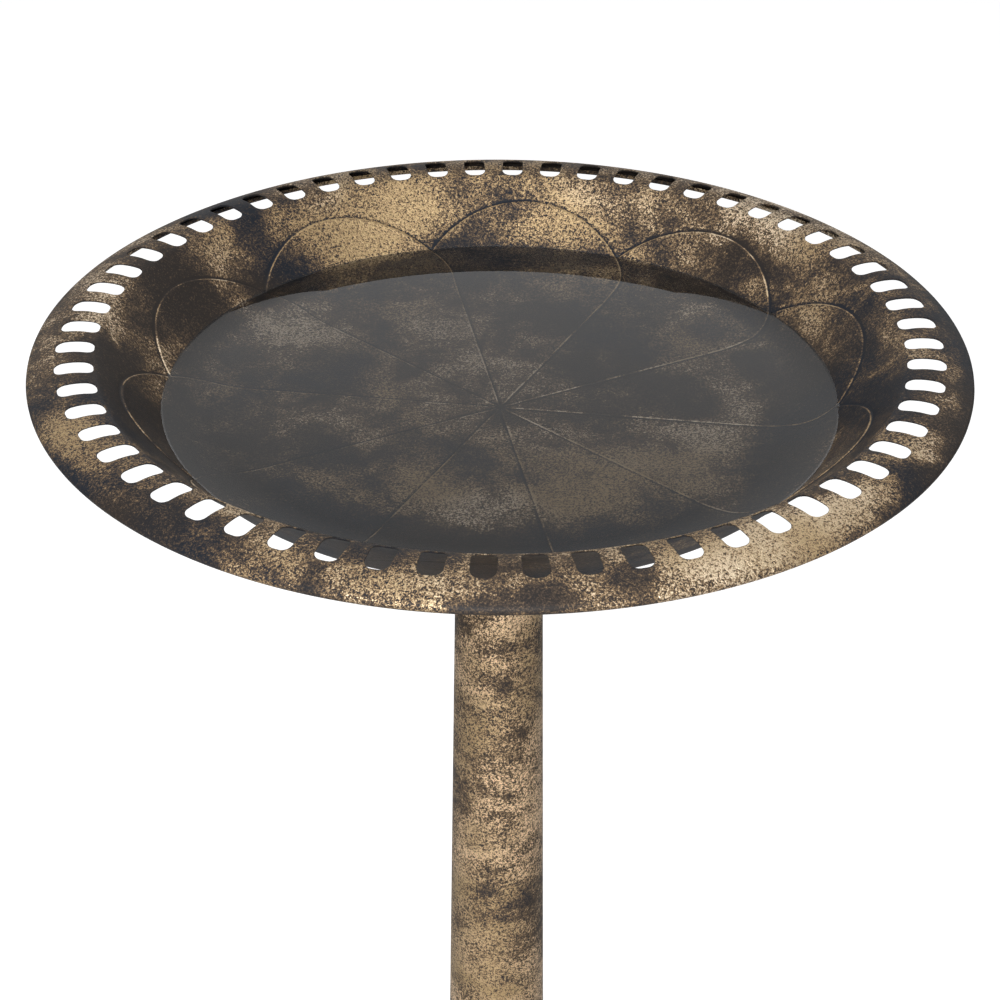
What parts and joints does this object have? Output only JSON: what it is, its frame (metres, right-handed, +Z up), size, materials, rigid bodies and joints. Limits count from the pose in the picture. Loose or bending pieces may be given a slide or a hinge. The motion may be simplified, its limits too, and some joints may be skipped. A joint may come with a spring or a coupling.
{
  "type": "bird bath",
  "caption": "Pedestal bird bath: a shallow round dish with a slotted rim and embossed petals that lifts off a tapered column on a round bell-shaped base.",
  "frame": {"origin": "on the ground under the centre of the base", "axes": "+Z up, along the column; X and Y are level and pass through the column's axis"},
  "size_m": [0.5498, 0.5498, 0.76],
  "materials": {
    "dish_bronze": "satin antique bronze: gold speckle over charcoal",
    "stand_bronze": "satin antique bronze: champagne speckle over charcoal",
    "zinc_steel": "zinc plated",
    "black_rubber": "matt moulded rubber"
  },
  "bodies": {
    "stand": {"column": "stand_bronze", "column_top_plate": "stand_bronze", "column_socket": "zinc_steel", "column_foot_plate": "stand_bronze", "foot_weld_nut": "zinc_steel", "base_collar": "stand_bronze", "base_dome": "stand_bronze", "base_washer": "zinc_steel", "rubber_feet": "black_rubber"},
    "seat": {"seat_washer": "black_rubber"},
    "dish_assembly": {"dish": "dish_bronze", "dish_backing_plate": "dish_bronze", "dish_spigot": "zinc_steel"},
    "clamp_bolt": {"base_wing_bolt": "zinc_steel"}
  },
  "joints": [
    {"name": "dish_turn", "type": "hinge", "parent": "stand", "child": "seat", "pos_m": [0, 0, 0.693], "axis": [0, 0, 1], "continuous": true},
    {"name": "dish_lift", "type": "slide", "parent": "seat", "child": "dish_assembly", "axis": [0, 0, 1], "range_m": [0, 0.12]},
    {"name": "bolt_turn", "type": "hinge", "parent": "stand", "child": "clamp_bolt", "pos_m": [0, 0, 0.0813], "axis": [0, 0, 1], "continuous": true}
  ]
}
